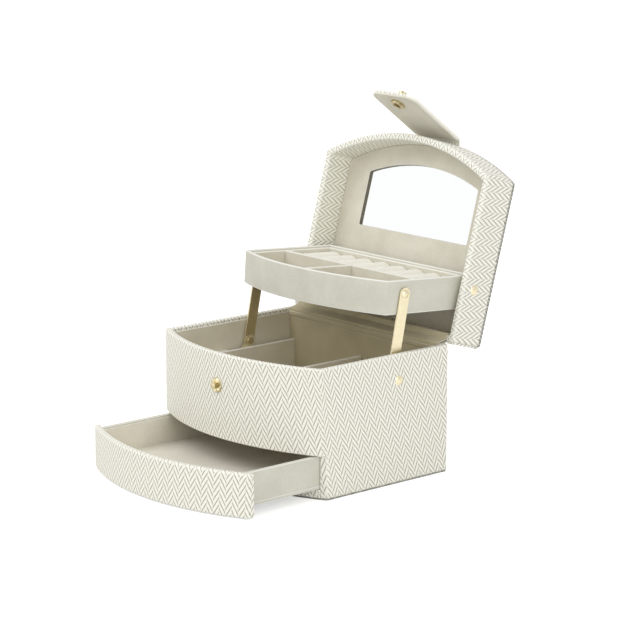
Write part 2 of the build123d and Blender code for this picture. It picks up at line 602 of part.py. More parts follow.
def build_strap():
    top, tip = BEND_CENTRE[1], -STRAP_REACH - STRAP_TIP_MARGIN
    outline = Pos(0, (top + tip) / 2) * Rectangle(STRAP_WIDTH, top - tip)
    outline = fillet(outline.vertices().sort_by(Axis.Y)[:2], STRAP_CORNER)
    outline -= Pos(0, -STRAP_REACH) * Circle(CAP_SHANK_RADIUS + RIVET_CLEARANCE)
    face = Plane.XZ * outline
    cover = Pos(0, STRAP_OUTER_Y, 0) * extrude(face, amount=STRAP_COVER, dir=(0, 1, 0))
    pieces["strap_cover"] = strap_hung(cover + strap_bend())
    lining_y = STRAP_OUTER_Y + STRAP_COVER
    lining = Pos(0, lining_y, 0) * extrude(face, amount=STRAP_LINING, dir=(0, 1, 0))
    pieces["strap_lining"] = strap_hung(lining)
    ring = Circle(SOCKET_RADIUS) - Circle(SOCKET_BORE_RADIUS)
    socket = extrude(ring, amount=SOCKET_HEIGHT)
    pieces["snap_socket"] = strap_hung(Pos(0, STRAP_INNER_Y, -STRAP_REACH) * Rot(-90, 0, 0) * socket)
    cap = extrude(Circle(CAP_RADIUS), amount=CAP_RIM_HEIGHT)
    knob = extrude(Circle(CAP_KNOB_RADIUS), amount=CAP_KNOB_HEIGHT)
    knob = chamfer(knob.edges().sort_by(Axis.Z)[-1], CAP_KNOB_BEVEL)
    cap += Pos(0, 0, CAP_RIM_HEIGHT) * knob
    cap += extrude(Circle(CAP_SHANK_RADIUS), amount=-STRAP_THICKNESS)
    pieces["snap_cap"] = strap_hung(Pos(0, STRAP_OUTER_Y, -STRAP_REACH) * Rot(90, 0, 0) * cap)
    stud = extrude(Circle(STUD_BASE_RADIUS), amount=STUD_BASE_HEIGHT)
    stud = chamfer(stud.edges().sort_by(Axis.Z)[-1], STUD_BASE_BEVEL)
    stud += extrude(Circle(STUD_POST_RADIUS), amount=STUD_BASE_HEIGHT + SOCKET_HEIGHT)
    pieces["snap_stud"] = Pos(0, FRONT_Y, STUD_Z) * Rot(90, 0, 0) * stud


build_case()
build_linings()
build_partitions()
build_lid()
build_hinge()
build_lift()
build_tray()
build_drawer()
build_strap()

os.makedirs("parts", exist_ok=True)
for name, piece in pieces.items():
    export_step(piece, f"parts/{name}.step")

STRAP_HINGE = turned(STRAP_AXIS, HINGE, -LID_OPEN_ANGLE)
print("pieces", len(pieces))
print("lid hinge", HINGE, "opens", LID_OPEN_ANGLE)
print("arm pivot", ARM_PIVOT, "length", ARM_LENGTH, "swing", ARM_SWING)
print("tray pivot", TRAY_PIVOT, "tilt", TRAY_TILT)
print("strap hinge", STRAP_HINGE, "fastened", STRAP_HANGS_OUT - STRAP_FASTENED_OUT)
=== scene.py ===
import math

import bmesh
import bpy
from mathutils import Matrix, Vector, noise


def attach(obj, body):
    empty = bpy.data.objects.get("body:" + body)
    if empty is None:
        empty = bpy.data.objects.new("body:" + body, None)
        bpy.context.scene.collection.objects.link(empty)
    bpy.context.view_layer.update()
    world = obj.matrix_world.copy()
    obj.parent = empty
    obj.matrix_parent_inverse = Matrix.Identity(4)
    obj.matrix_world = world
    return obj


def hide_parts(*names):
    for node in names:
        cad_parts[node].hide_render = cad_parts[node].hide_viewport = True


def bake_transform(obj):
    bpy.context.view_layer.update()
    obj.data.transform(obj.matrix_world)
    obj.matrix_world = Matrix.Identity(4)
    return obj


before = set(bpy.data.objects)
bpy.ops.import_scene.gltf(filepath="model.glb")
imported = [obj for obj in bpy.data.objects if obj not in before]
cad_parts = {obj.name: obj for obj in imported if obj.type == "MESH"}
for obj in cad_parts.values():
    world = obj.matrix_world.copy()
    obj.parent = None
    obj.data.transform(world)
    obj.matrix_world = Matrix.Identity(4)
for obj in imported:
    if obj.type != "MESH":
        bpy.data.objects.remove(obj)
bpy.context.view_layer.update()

# Base liner
# A thin pale cloth glued under the base board, a little inside its edge, so that the box
# doesn't scratch the table it stands on. Cut from one sheet to the bowed plan of the box.

MM = 0.001
WIDTH = 170.0
DEPTH = 140.0
BOW = 21.5
FRONT_THICKNESS = 4.5
CORNER_ROUND = 2.5
LINER_THICKNESS = 1.0
LINER_INSET = 0.25
LINER_EDGE = 0.2
HALF_WIDTH = WIDTH / 2
FRONT_Y = -DEPTH / 2
REAR_Y = DEPTH / 2
BOW_RADIUS = (HALF_WIDTH**2 + BOW**2) / (2 * BOW)
BOW_CENTRE_Y = FRONT_Y + BOW_RADIUS
PANEL_BACK_RADIUS = BOW_RADIUS - FRONT_THICKNESS


class Wire:
    """A socket in a finish's node tree; arithmetic on it adds Math nodes."""

    def __init__(self, tree, socket):
        self.tree = tree
        self.socket = socket

    def node(self, kind, settings=None, sockets=None, out=0):
        """Adds a node, makes its settings, then sets or links its sockets; gives one of its outputs."""
        added = self.tree.nodes.new(kind)
        for name, value in (settings or {}).items():
            setattr(added, name, value)
        for name, value in (sockets or {}).items():
            if isinstance(value, Wire):
                self.tree.links.new(value.socket, added.inputs[name])
            else:
                added.inputs[name].default_value = value
        return Wire(self.tree, added.outputs[out])

    def math(self, operation, *others):
        """A Math node on this value and others, in that order."""
        return self.node("ShaderNodeMath", {"operation": operation}, dict(enumerate((self, *others))))

    def math_after(self, operation, first):
        """A Math node on another value and this one, in that order."""
        return self.node("ShaderNodeMath", {"operation": operation}, {0: first, 1: self})

    def __add__(self, other):
        return self.math("ADD", other)

    def __radd__(self, other):
        return self.math_after("ADD", other)

    def __sub__(self, other):
        return self.math("SUBTRACT", other)

    def __rsub__(self, other):
        return self.math_after("SUBTRACT", other)

    def __mul__(self, other):
        return self.math("MULTIPLY", other)

    def __rmul__(self, other):
        return self.math_after("MULTIPLY", other)

    def __truediv__(self, other):
        return self.math("DIVIDE", other)

    def __rtruediv__(self, other):
        return self.math_after("DIVIDE", other)

    def between(self, low, high):
        """Runs smoothly from 0 at low to 1 at high."""
        span = {"Value": self, "From Min": low, "From Max": high}
        return self.node("ShaderNodeMapRange", {"interpolation_type": "SMOOTHSTEP"}, span)

    def mix(self, first, second):
        """A colour from first to second as this value goes from 0 to 1."""
        return self.node("ShaderNodeMix", {"data_type": "RGBA"}, {0: self, 6: first, 7: second}, out=2)

    def grain(self, size, detail=2.0):
        """Noise over these coordinates, in metres, with features of about the given size."""
        sockets = {"Vector": self, "Scale": 1 / size, "Detail": detail}
        return self.node("ShaderNodeTexNoise", {}, sockets, out="Fac")

    def bump(self, height, strength):
        """The normal of a surface whose relief is this value times a height in metres."""
        sockets = {"Height": self, "Distance": height, "Strength": strength}
        return self.node("ShaderNodeBump", {}, sockets)


def colour(red, green, blue):
    """A colour given as it looks on a screen, 0 to 255, as the shader's linear values."""
    linear = [((channel / 255 + 0.055) / 1.055) ** 2.4 for channel in (red, green, blue)]
    return (*linear, 1.0)


def finish(name, constants):
    """A new material whose shader has these constants; gives it and a wire of its coordinates."""
    material = bpy.data.materials.new(name)
    material.use_nodes = True
    tree = material.node_tree
    for socket, value in constants.items():
        tree.nodes["Principled BSDF"].inputs[socket].default_value = value
    coordinates = tree.nodes.new("ShaderNodeTexCoord")
    return material, Wire(tree, coordinates.outputs["Object"])


def feed(material, wires):
    """Links what varies over the surface to the material's shader."""
    tree = material.node_tree
    for socket, wire in wires.items():
        tree.links.new(wire.socket, tree.nodes["Principled BSDF"].inputs[socket])


base_cloth, surface = finish("base_cloth", {"Roughness": 0.9})
liner_nap = surface.grain(size=0.8 * MM, detail=4.0)
feed(base_cloth, {
    "Base Color": liner_nap.mix(colour(222, 220, 208), colour(240, 239, 229)),
    "Normal": liner_nap.bump(height=0.2 * MM, strength=0.5),
})

BOW_STEPS = 48
CORNER_STEPS = 6
CORNER_REACH = 1.5
SHARP = math.radians(35)


def bow_y(x, radius=BOW_RADIUS):
    """Front face of a bow of the given radius, at a distance x from the middle of the box."""
    return BOW_CENTRE_Y - math.sqrt(radius**2 - x**2)


def rounded(corners):
    """Outline through corners (x, y, radius): an arc at a radius, one point where it is None."""
    outline = []
    for i, (x, y, radius) in enumerate(corners):
        here = Vector((x, y))
        if radius is None:
            outline.append(here)
            continue
        before = (Vector(corners[i - 1][:2]) - here).normalized()
        after = (Vector(corners[(i + 1) % len(corners)][:2]) - here).normalized()
        half_angle = before.angle(after) / 2
        centre = here + (before + after).normalized() * radius / math.sin(half_angle)
        start = here + before * radius / math.tan(half_angle) - centre
        stop = here + after * radius / math.tan(half_angle) - centre
        for step in range(CORNER_STEPS + 1):
            turn = start.lerp(stop, step / CORNER_STEPS)
            outline.append(centre + turn.normalized() * radius)
    return outline


def bowed_outline(half_width, radius, rear_y, corner, side_y=0):
    """Outline of a bow-fronted box from its front left corner, with a point at side_y on each side."""
    front_x = half_width - CORNER_REACH * corner
    front = [front_x * (2 * step / BOW_STEPS - 1) for step in range(BOW_STEPS + 1)]
    corner_y = bow_y(half_width, radius)
    return rounded(
        [(x, bow_y(x, radius), None) for x in front]
        + [(half_width, corner_y, corner), (half_width, side_y, None), (half_width, rear_y, corner)]
        + [(-half_width, rear_y, corner), (-half_width, side_y, None), (-half_width, corner_y, corner)]
    )


def round_edges(shape, width, above=-math.inf):
    """Rounds off a shape's sharp edges that lie above a level, and marks them for a painted highlight.
    """
    painted_edge_highlight = shape.faces.layers.float.get("painted_edge_highlight") or shape.faces.layers.float.new("painted_edge_highlight")
    edges = [
        edge for edge in shape.edges
        if edge.calc_face_angle(0) > SHARP and min(vert.co.z for vert in edge.verts) > above
    ]
    rounding = bmesh.ops.bevel(
        shape, geom=edges, offset=width, segments=3, profile=0.5, affect="EDGES", clamp_overlap=False
    )
    for face in rounding["faces"]:
        face[painted_edge_highlight] = 1
    shape.normal_update()


def plate(outline, low, high, edge):
    """A flat board of the given outline with rounded edges."""
    shape = bmesh.new()
    bottom = [shape.verts.new((*point, low)) for point in outline]
    top = [shape.verts.new((*point, high)) for point in outline]
    shape.faces.new(reversed(bottom))
    shape.faces.new(top)
    for i in range(len(outline)):
        j = (i + 1) % len(outline)
        shape.faces.new((bottom[i], bottom[j], top[j], top[i]))
    round_edges(shape, edge)
    return shape


def fit(name, shape, material, body, nodes, pose=Matrix()):
    """Makes a piece of a shape of the shut box, puts it in its pose and lets it stand for CAD nodes.

    Shape and pose are in millimetres. A piece with no body is attached to none.
    """
    mesh = bpy.data.meshes.new(name)
    shape.transform(Matrix.Scale(MM, 4) @ pose)
    shape.to_mesh(mesh)
    shape.free()
    mesh.shade_smooth()
    mesh.materials.append(material)
    piece = bpy.data.objects.new(name, mesh)
    bpy.context.scene.collection.objects.link(piece)
    piece.modifiers.new("even_shading", "WEIGHTED_NORMAL")
    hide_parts(*nodes)
    if body:
        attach(piece, body)
    return piece


liner_outline = bowed_outline(
    HALF_WIDTH - LINER_INSET, PANEL_BACK_RADIUS - LINER_INSET, REAR_Y - LINER_INSET, CORNER_ROUND
)
liner_shape = plate(liner_outline, 0, LINER_THICKNESS, LINER_EDGE)
fit("base_liner_glued", liner_shape, base_cloth, "case", ["base_liner"])

# Base board
# The board that the case is built on. The leatherette of the walls is turned round its edge,
# so its front shows under the drawer as a narrow strip of the same woven-look cloth.

ZIGZAG_WIDTH = 4.75
ZIGZAG_PITCH = 5.25
ZIGZAG_SLOPE = math.tan(math.radians(59))
WAVER_ACROSS = 0.5
WAVER_UP = 0.2
THREAD_FLAT = 0.27
GAP_FULL = 0.42
THREAD_RELIEF = 0.35 * MM
# How much less of the dark ground shows on the leatherette's rounded edges: a painted highlight.
EDGE_PAINTED_HIGHLIGHT = 0.35
FRONT_LEAN = 0.11
SIDE_LEAN = 0.22
LEAN_TURN = 30.0
TURNED_IN = 2.5
FACES_FRONT = 0.6
FACES_UP = 0.7
WELD = 0.001
FLAT = math.radians(0.5)
BASE_INSET = 1.0
BASE_EDGE = 0.6

leatherette, surface = finish("leatherette", {"Specular IOR Level": 0.35})
cloth_map = surface.node("ShaderNodeUVMap", {"uv_map": "wrap"})
along = cloth_map.node("ShaderNodeSeparateXYZ", {}, {0: cloth_map}, out="X")
up = cloth_map.node("ShaderNodeSeparateXYZ", {}, {0: cloth_map}, out="Y")
waver = surface.grain(size=4 * MM) - 0.5
across = along + WAVER_ACROSS * waver
zigzag = across.math("PINGPONG", ZIGZAG_WIDTH)
is_falling = (across / (2 * ZIGZAG_WIDTH)).math("FRACT").math("GREATER_THAN", 0.5)
stroke_count = (up + zigzag * ZIGZAG_SLOPE) / ZIGZAG_PITCH
stroke = (stroke_count + 0.5 * is_falling + WAVER_UP * waver).math("FRACT")
from_middle = (stroke - 0.5).math("ABSOLUTE")
painted_edge_highlight = surface.node("ShaderNodeAttribute", {"attribute_name": "painted_edge_highlight"}, out="Fac")
# Rounded edges show less of the dark ground between the threads: a painted highlight.
gap = from_middle.between(THREAD_FLAT, GAP_FULL) * (1 - EDGE_PAINTED_HIGHLIGHT * painted_edge_highlight)
fleck = surface.grain(size=0.7 * MM, detail=3.0)
thread = fleck.mix(colour(242, 241, 230), colour(251, 250, 243))
ground = fleck.mix(colour(174, 169, 149), colour(200, 196, 178))
feed(leatherette, {
    "Base Color": gap.mix(thread, ground),
    "Roughness": 0.55 + 0.2 * gap,
    "Normal": (1 - gap).bump(height=THREAD_RELIEF, strength=0.6),
})


def softened(node, edge, pose=Matrix()):
    """A CAD node's shape in millimetres, taken back to the shut box, with rounded edges."""
    shape = bmesh.new()
    shape.from_mesh(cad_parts[node].data)
    shape.transform(pose.inverted() @ Matrix.Scale(1 / MM, 4))
    bmesh.ops.remove_doubles(shape, verts=shape.verts, dist=WELD)
    bmesh.ops.dissolve_limit(shape, angle_limit=FLAT, verts=shape.verts, edges=shape.edges)
    round_edges(shape, edge)
    return shape


def wrap(shape, flat_top=False, fold=None, front_lean=FRONT_LEAN, side_lean=SIDE_LEAN):
    """Maps the leatherette in millimetres along the walls of the shut box and up, or flat on its top.

    At a fold the cloth turns in under the walls and goes up their inner faces. It was laid by
    hand, so its columns lean: by so much along the wall for each step up.
    """
    layer = shape.loops.layers.uv.new("wrap")
    corner_y = bow_y(HALF_WIDTH)
    corner_along = BOW_RADIUS * math.asin(HALF_WIDTH / BOW_RADIUS)
    for face in shape.faces:
        middle = face.calc_center_median()
        depths = {
            "front": BOW_RADIUS - math.hypot(middle.x, BOW_CENTRE_Y - middle.y),
            "side": HALF_WIDTH - abs(middle.x),
            "back": REAR_Y - middle.y,
        }
        wall = min(depths, key=depths.get)
        if -face.normal.y > FACES_FRONT:
            wall = "front"
        side = math.copysign(1, middle.x)
        for loop in face.loops:
            x, y, z = loop.vert.co
            if flat_top and abs(face.normal.z) > FACES_UP:
                loop[layer].uv = (x, y)
                continue
            if wall == "front":
                along = BOW_RADIUS * math.atan2(x, BOW_CENTRE_Y - y)
                depth = BOW_RADIUS - math.hypot(x, BOW_CENTRE_Y - y)
            elif wall == "side":
                along = side * (corner_along + y - corner_y)
                depth = HALF_WIDTH - abs(x)
            else:
                along = corner_along + REAR_Y - corner_y + HALF_WIDTH - x
                depth = REAR_Y - y
            if fold and depth > TURNED_IN:
                up = 2 * fold - z - depth
            else:
                up = z + math.copysign(depth, face.normal.z)
            past_turn = abs(along) - (corner_along - LEAN_TURN)
            share = max(0, min(1, past_turn / (2 * LEAN_TURN)))
            lean = front_lean + (side_lean - front_lean) * share**2 * (3 - 2 * share)
            loop[layer].uv = (along + lean * up, up)


base_shape = softened("base_board", BASE_EDGE)
for vert in base_shape.verts:
    vert.co.y = min(vert.co.y, REAR_Y - BASE_INSET)
wrap(base_shape, flat_top=True)
fit("base_board_wrapped", base_shape, leatherette, "case", ["base_board"])

# Case walls
# Front panel, two sides and back of board, wrapped together in one run of leatherette. The
# front panel is bowed and stops above the drawer; the side walls run down to the base.

WALL = 5.0
BASE_THICKNESS = 6.0
DRAWER_OPENING = 24.3
RIM = 91.5
CASE_EDGE = 1.0
PANEL_BOTTOM = LINER_THICKNESS + BASE_THICKNESS + DRAWER_OPENING
INNER_X = HALF_WIDTH - WALL
INNER_REAR_Y = REAR_Y - WALL
SIDE_FRONT_Y = bow_y(HALF_WIDTH, PANEL_BACK_RADIUS)
TOUCH = 0.01
CORNER_START_X = HALF_WIDTH - CORNER_REACH * CORNER_ROUND + TOUCH


def walls(outer, inner, levels, edge=None, is_wall=lambda place, level: True):
    """Walls between two outlines of equal length, over the levels and places that are wall."""
    shape = bmesh.new()
    count = len(outer)
    last = len(levels) - 2
    rings = []
    for z in levels:
        rings.append([[shape.verts.new((*point, z)) for point in outline] for outline in (outer, inner)])
    for level in range(last + 1):
        outer_low, inner_low = rings[level]
        outer_high, inner_high = rings[level + 1]
        for i in range(count):
            if not is_wall(i, level):
                continue
            j = (i + 1) % count
            shape.faces.new((outer_low[i], outer_low[j], outer_high[j], outer_high[i]))
            shape.faces.new((inner_low[j], inner_low[i], inner_high[i], inner_high[j]))
            if level == last or not is_wall(i, level + 1):
                shape.faces.new((outer_high[i], outer_high[j], inner_high[j], inner_high[i]))
            if level == 0 or not is_wall(i, level - 1):
                shape.faces.new((outer_low[j], outer_low[i], inner_low[i], inner_low[j]))
            if not is_wall((i - 1) % count, level):
                shape.faces.new((outer_low[i], outer_high[i], inner_high[i], inner_low[i]))
            if not is_wall(j, level):
                shape.faces.new((outer_low[j], inner_low[j], inner_high[j], outer_high[j]))
    loose = [vert for vert in shape.verts if not vert.link_faces]
    bmesh.ops.delete(shape, geom=loose, context="VERTS")
    bmesh.ops.remove_doubles(shape, verts=shape.verts, dist=WELD)
    bmesh.ops.recalc_face_normals(shape, faces=shape.faces)
    if edge:
        round_edges(shape, edge)
    return shape


def squared(outline, half_width, radius, rear_y):
    """Inner outline, point for point beside an outer one, with plain corners."""
    corner_y = bow_y(half_width, radius)
    points = []
    for x, y in outline:
        inner_x = max(-half_width, min(half_width, x * half_width / HALF_WIDTH))
        if abs(x) >= CORNER_START_X:
            inner_x = math.copysign(half_width, x)
        if y > REAR_Y - CORNER_ROUND - TOUCH:
            inner_y = rear_y
        elif abs(inner_x) == half_width:
            inner_y = corner_y
        else:
            inner_y = bow_y(inner_x, radius)
        points.append(Vector((inner_x, inner_y)))
    return points


case_outer = bowed_outline(HALF_WIDTH, BOW_RADIUS, REAR_Y, CORNER_ROUND, SIDE_FRONT_Y)
case_inner = squared(case_outer, INNER_X, PANEL_BACK_RADIUS, INNER_REAR_Y)


def is_case_wall(place, level):
    """All round above the drawer, and only behind the drawer front's back below it."""
    ends = case_outer[place], case_outer[(place + 1) % len(case_outer)]
    return level == 1 or all(end.y > SIDE_FRONT_Y - TOUCH for end in ends)


case_levels = [LINER_THICKNESS, PANEL_BOTTOM, RIM]
case_shape = walls(case_outer, case_inner, case_levels, CASE_EDGE, is_case_wall)
wrap(case_shape)
case_nodes = ["front_panel", "left_side_wall", "right_side_wall", "back_wall"]
fit("case_walls", case_shape, leatherette, "case", case_nodes)

# Case lining
# Suedette glued to boards inside the case: floor, back, front and sides, two partitions that
# leave channels for the lift arms, the fillers of those channels, and one cross partition.

# Share by which the suedette's rounded edges are lightened toward white: a painted highlight.
SUEDE_PAINTED_HIGHLIGHT = 0.45
NAP_SHARE = 0.55
LINING_EDGE = 0.3
PARTITION_EDGE = 0.8


def suede(name, dark, light, edge_highlight=SUEDE_PAINTED_HIGHLIGHT):
    """A brushed cloth: fine nap over soft patches where it lies another way, lighter on rounded edges as
    a painted highlight.
    """
    material, surface = finish(name, {"Roughness": 0.95, "Specular IOR Level": 0.2, "Sheen Weight": 0.2})
    nap = surface.grain(size=0.6 * MM, detail=4.0)
    patch = surface.grain(size=22 * MM, detail=3.0)
    tone = (NAP_SHARE * nap + (1 - NAP_SHARE) * patch).between(low=0.3, high=0.7)
    painted_edge_highlight = surface.node("ShaderNodeAttribute", {"attribute_name": "painted_edge_highlight"}, out="Fac")
    # Rounded edges are lightened toward white: a painted highlight.
    highlight_colour = [channel + edge_highlight * (1 - channel) for channel in light]
    feed(material, {
        "Base Color": painted_edge_highlight.mix(tone.mix(dark, light), highlight_colour),
        "Normal": nap.bump(height=0.2 * MM, strength=0.35),
    })
    return material


def cover(node, edge, material, body):
    """Covers a CAD node's board with suedette, drawn tight over its edges."""
    fit(node + "_covered", softened(node, edge), material, body, [node])


# The deck's suedette is coloured dark brown: painted shade deep inside the case.
deck_painted_shade = suede("deck_painted_shade", dark=colour(122, 104, 60), light=colour(146, 128, 84))
# The back and front linings, the hinge lining and its hem take a darker, warmer copy of the suedette:
# painted shade.
case_lining_painted_shade = suede("case_lining_painted_shade", dark=colour(184, 174, 142), light=colour(204, 195, 166), edge_highlight=0.12)
# Side linings and partitions are lightened more on their rounded tops: a painted highlight.
side_suede = suede("side_suede", dark=colour(213, 206, 184), light=colour(229, 223, 204), edge_highlight=0.5)
for node in ("deck", "deck_lining"):
    cover(node, LINING_EDGE, deck_painted_shade, "case")
for node in ("back_lining", "front_lining"):
    cover(node, LINING_EDGE, case_lining_painted_shade, "case")
for side in ("left", "right"):
    cover(side + "_side_lining", LINING_EDGE, side_suede, "case")
    cover(side + "_channel_partition", PARTITION_EDGE, side_suede, "case")
    cover(side + "_channel_spacer", LINING_EDGE, side_suede, "case")
cover("middle_partition", PARTITION_EDGE, side_suede, "case")

# Arm brackets, rivets and snap stud
# Pressed brass: the brackets are riveted inside the partitions with a washer outside each arm,
# and the stud of the snap is set in the front panel.

TARNISH_DULLS = 0.12


def plated(name, dark, light, roughness, spot):
    """Brass plate of one depth of gold, a little tarnished in soft spots."""
    material, surface = finish(name, {"Metallic": 1.0})
    tarnish = surface.grain(size=spot, detail=3.0)
    feed(material, {
        "Base Color": tarnish.between(low=0.3, high=0.7).mix(light, dark),
        "Roughness": roughness + TARNISH_DULLS * tarnish,
    })
    return material


def dress(material, *nodes):
    """Gives CAD nodes that show as they are a finish."""
    for node in nodes:
        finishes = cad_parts[node].data.materials
        finishes.clear()
        finishes.append(material)


pale_brass = plated(
    "pale_brass", dark=colour(221, 209, 176), light=colour(230, 220, 190), roughness=0.26, spot=1.2 * MM
)
worn_brass = plated(
    "worn_brass", dark=colour(226, 213, 174), light=colour(252, 246, 226), roughness=0.45, spot=3.5 * MM
)
deep_brass = plated(
    "deep_brass", dark=colour(160, 146, 106), light=colour(229, 216, 178), roughness=0.18, spot=2.2 * MM
)
dress(worn_brass, "left_arm_bracket", "right_arm_bracket", "arm_washers")
dress(pale_brass, "case_rivets")
dress(deep_brass, "snap_stud")

# Drawer
# A board tray covered and lined with suedette, with a bowed front wrapped in leatherette that
# closes the opening under the front panel. It slides on the base between the side walls.

DRAWER_PULL = 64.0
DRAWER_GAP = 0.3
DRAWER_SIDE_CLEARANCE = 0.4
DRAWER_BACK_CLEARANCE = 1.5
DRAWER_BOARD = 3.5
DRAWER_FRONT_EDGE = 0.4
DRAWER_LEAN = -0.05
DRAWER_INNER_X = INNER_X - DRAWER_SIDE_CLEARANCE - DRAWER_BOARD
DRAWER_INNER_REAR_Y = INNER_REAR_Y - DRAWER_BACK_CLEARANCE - DRAWER_BOARD
DRAWER_FRONT_BACK_RADIUS = PANEL_BACK_RADIUS + DRAWER_GAP
SIDE_LINING_LOW = 9.4
SIDE_LINING_TOP = 29.0
SIDE_LINING_GAP = 0.05
SIDE_LINING = 0.75
SIDE_LINING_CORNER = 0.3
SIDE_LINING_EDGE = 0.2
pulled = Matrix.Translation((0, -DRAWER_PULL, 0))

drawer_front_shape = softened("drawer_front", DRAWER_FRONT_EDGE, pulled)
wrap(drawer_front_shape, front_lean=DRAWER_LEAN, side_lean=DRAWER_LEAN)
fit("drawer_front_wrapped", drawer_front_shape, leatherette, "drawer",
    ["drawer_front"], pulled)
pale_suede = suede("pale_suede", dark=colour(201, 199, 185), light=colour(220, 218, 205))
for node in ("drawer_floor", "left_drawer_side", "right_drawer_side", "drawer_back"):
    cover(node, LINING_EDGE, pale_suede, "drawer")
drawer_suede = suede("drawer_suede", dark=colour(219, 214, 199), light=colour(236, 232, 219))
fit("drawer_lining_laid", softened("drawer_lining", LINING_EDGE), drawer_suede, "drawer",
    ["drawer_lining"])


def drawer_outline(inset):
    """Outline inside the drawer at a distance from its boards."""
    return bowed_outline(
        DRAWER_INNER_X - inset,
        DRAWER_FRONT_BACK_RADIUS - inset,
        DRAWER_INNER_REAR_Y - inset,
        SIDE_LINING_CORNER,
    )


side_lining_shape = walls(
    drawer_outline(SIDE_LINING_GAP),
    drawer_outline(SIDE_LINING_GAP + SIDE_LINING),
    [SIDE_LINING_LOW, SIDE_LINING_TOP],
    SIDE_LINING_EDGE,
)
fit("drawer_side_lining", side_lining_shape, drawer_suede, "drawer", [], pulled)

# Lift arms
# Two flat brass links, stamped with round ends and polished, riveted to the case below and to
# the tray above.

ARM_EDGE = 0.25

for side in ("left", "right"):
    node = side + "_lift_arm"
    fit(node + "_polished", softened(node, ARM_EDGE), pale_brass, "lift_arms", [node])

# Tray
# A shallow bow-fronted board tray covered in suedette, parted by a cross divider and a short
# divider. Its walls step down inside. The arms carry its front and the lid's rivets its back,
# so it stands where the open lid has taken those rivets, tipped a little.

HINGE_BEHIND_CASE = 1.6
HINGE_BELOW_RIM = 0.8
LID_OPEN_ANGLE = math.radians(-106)
LID_RIVET_FROM_BACK = 39.1
LID_RIVET_ABOVE_RIM = 10.7
TRAY_TILT = math.radians(-4.2)
TRAY_BEHIND_RIVET = 7.0
TRAY_ABOVE_RIVET = 9.6
TRAY_HEIGHT = 24.0
TRAY_SIDE_GAP = 4.0
TRAY_FRONT_GAP = 3.1
TRAY_FLOOR = 3.0
TRAY_FLOOR_LIFT = 0.4
TRAY_WALL = 4.5
TRAY_RIM = 2.5
TRAY_STEP_DOWN = 1.5
TRAY_STEP_LIFT = 1.0
TRAY_CORNER = 1.2
TRAY_CORNER_LEAST = 0.2
TRAY_CORNER_SHRINK = 0.4
TRAY_BEHIND_CORNER = 6.0
TRAY_EDGE = 0.8
HINGE_YZ = (REAR_Y + HINGE_BEHIND_CASE, RIM - HINGE_BELOW_RIM)
LID_RIVET_YZ = (REAR_Y - LID_RIVET_FROM_BACK, RIM + LID_RIVET_ABOVE_RIM)
TRAY_X = INNER_X - TRAY_SIDE_GAP
TRAY_RADIUS = PANEL_BACK_RADIUS - TRAY_FRONT_GAP
TRAY_CORNER_Y = bow_y(TRAY_X, TRAY_RADIUS)
TRAY_REAR_Y = LID_RIVET_YZ[0] + TRAY_BEHIND_RIVET
TRAY_TOP = LID_RIVET_YZ[1] + TRAY_ABOVE_RIVET
TRAY_BOTTOM = TRAY_TOP - TRAY_HEIGHT
TRAY_FLOOR_TOP = TRAY_BOTTOM + TRAY_FLOOR


def moved(pivot_shut, pivot_now, angle):
    """Pose of a piece that turned about X while its pivot (y, z) went to a new place."""
    to_pivot = Matrix.Translation((0, *pivot_now))
    from_pivot = Matrix.Translation((0, *pivot_shut)).inverted()
    return to_pivot @ Matrix.Rotation(angle, 4, "X") @ from_pivot


opened = moved(HINGE_YZ, HINGE_YZ, LID_OPEN_ANGLE)
lid_rivet_now = opened @ Vector((0, *LID_RIVET_YZ))
lifted = moved(LID_RIVET_YZ, lid_rivet_now.yz, TRAY_TILT)


def tray_outline(inset):
    """Outline of the tray's wall at a distance inside its outer face."""
    half_width = TRAY_X - inset
    radius = TRAY_RADIUS - inset
    corner = max(TRAY_CORNER - TRAY_CORNER_SHRINK * inset, TRAY_CORNER_LEAST)
    side_y = bow_y(half_width, radius) + TRAY_BEHIND_CORNER
    return bowed_outline(half_width, radius, TRAY_REAR_Y - inset, corner, side_y)


tray_rim_shape = walls(tray_outline(0), tray_outline(TRAY_RIM), [TRAY_BOTTOM, TRAY_TOP], TRAY_EDGE)
tray_nodes = ["tray_front_wall", "tray_back_wall", "left_tray_wall", "right_tray_wall"]
fit("tray_walls", tray_rim_shape, pale_suede, "tray", tray_nodes, lifted)
warm_suede = suede("warm_suede", dark=colour(207, 202, 185), light=colour(226, 222, 208))
tray_step_shape = walls(
    tray_outline(TRAY_RIM),
    tray_outline(TRAY_WALL),
    [TRAY_BOTTOM + TRAY_STEP_LIFT, TRAY_TOP - TRAY_STEP_DOWN],
    TRAY_EDGE,
)
fit("tray_step", tray_step_shape, warm_suede, "tray", [], lifted)
tray_floor_shape = plate(
    tray_outline(TRAY_RIM), TRAY_BOTTOM + TRAY_FLOOR_LIFT, TRAY_FLOOR_TOP, TRAY_EDGE
)
fit("tray_floor_covered", tray_floor_shape, warm_suede, "tray", ["tray_floor"], lifted)
for node in ("tray_cross_divider", "tray_short_divider"):
    cover(node, TRAY_EDGE, warm_suede, "tray")
dress(pale_brass, "tray_rivets")

# Ring rolls
# Foam rolls covered in pale plush, laid side by side across the back of the tray, so that
# rings stand in the valleys between them.

